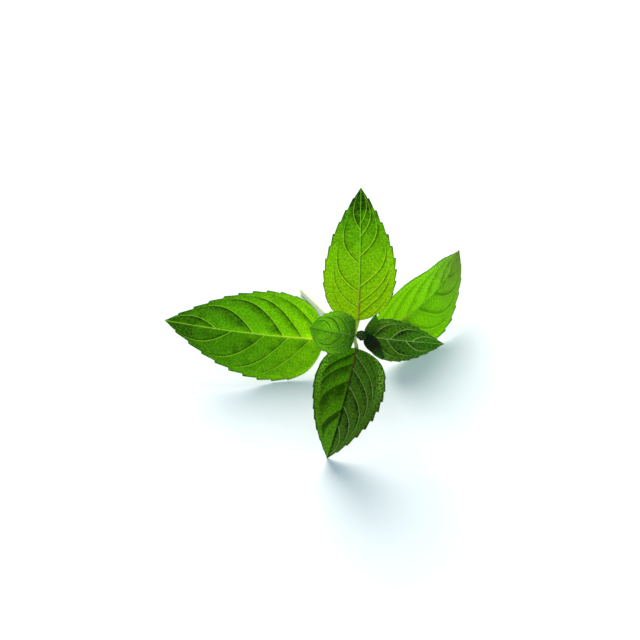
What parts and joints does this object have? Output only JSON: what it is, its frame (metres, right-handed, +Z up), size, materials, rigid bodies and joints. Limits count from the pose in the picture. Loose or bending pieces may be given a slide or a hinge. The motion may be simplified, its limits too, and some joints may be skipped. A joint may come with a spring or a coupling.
{
  "type": "mint sprig",
  "caption": "Cut sprig of mint lying on a surface, with toothed leaves in opposite pairs along a square stem and a small bud at its tip.",
  "frame": {"origin": "middle of the sprig's bounding box, on the surface that the sprig lies on", "axes": "+Z up from the surface; +X across the sprig along its longest extent, from the left leaf's tip to the right leaf's; the stem's cut end lies towards +Y and its tip leans up towards -Y"},
  "size_m": [0.091, 0.0738, 0.0632],
  "materials": {
    "stem": "pale green, faintly ribbed and hairy",
    "leaf": "matte leaf with a sunken net of veins",
    "young_leaf": "matte leaf, softly quilted",
    "tip": "dark and downy"
  },
  "bodies": {
    "root": {"stem": "stem", "leaf_left": "leaf", "leaf_right": "leaf", "leaf_back": "leaf", "leaf_front": "leaf", "small_leaf_left": "young_leaf", "small_leaf_right": "young_leaf", "tip_leaf_upper": "tip", "tip_leaf_lower": "tip", "tip_bud": "tip"}
  },
  "joints": []
}
